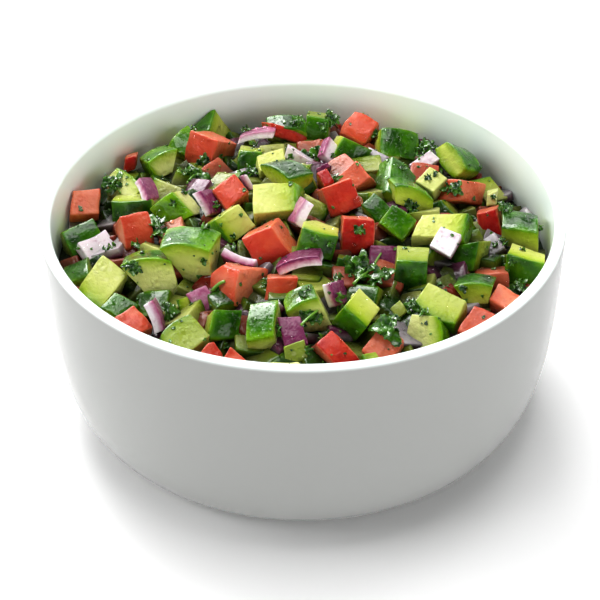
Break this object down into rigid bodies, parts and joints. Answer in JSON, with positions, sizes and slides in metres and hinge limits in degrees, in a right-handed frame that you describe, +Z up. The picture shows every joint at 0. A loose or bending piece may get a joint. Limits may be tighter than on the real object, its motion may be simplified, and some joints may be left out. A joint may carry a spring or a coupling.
{
  "type": "cucumber salad in a bowl",
  "caption": "Diced cucumber salad with tomato, red onion and parsley, heaped in a deep round white bowl.",
  "frame": {"origin": "centre of the bowl's flat base, on the surface it stands on", "axes": "+Z up along the bowl's axis; -Y towards the diner, who sees the salad from that side"},
  "size_m": [0.16, 0.16, 0.0741],
  "materials": {
    "bowl": "glossy white glaze",
    "salad": "moist cut vegetables, green and pale green with red and purple pieces"
  },
  "bodies": {
    "root": {"bowl": "bowl", "salad": "salad"}
  },
  "joints": []
}
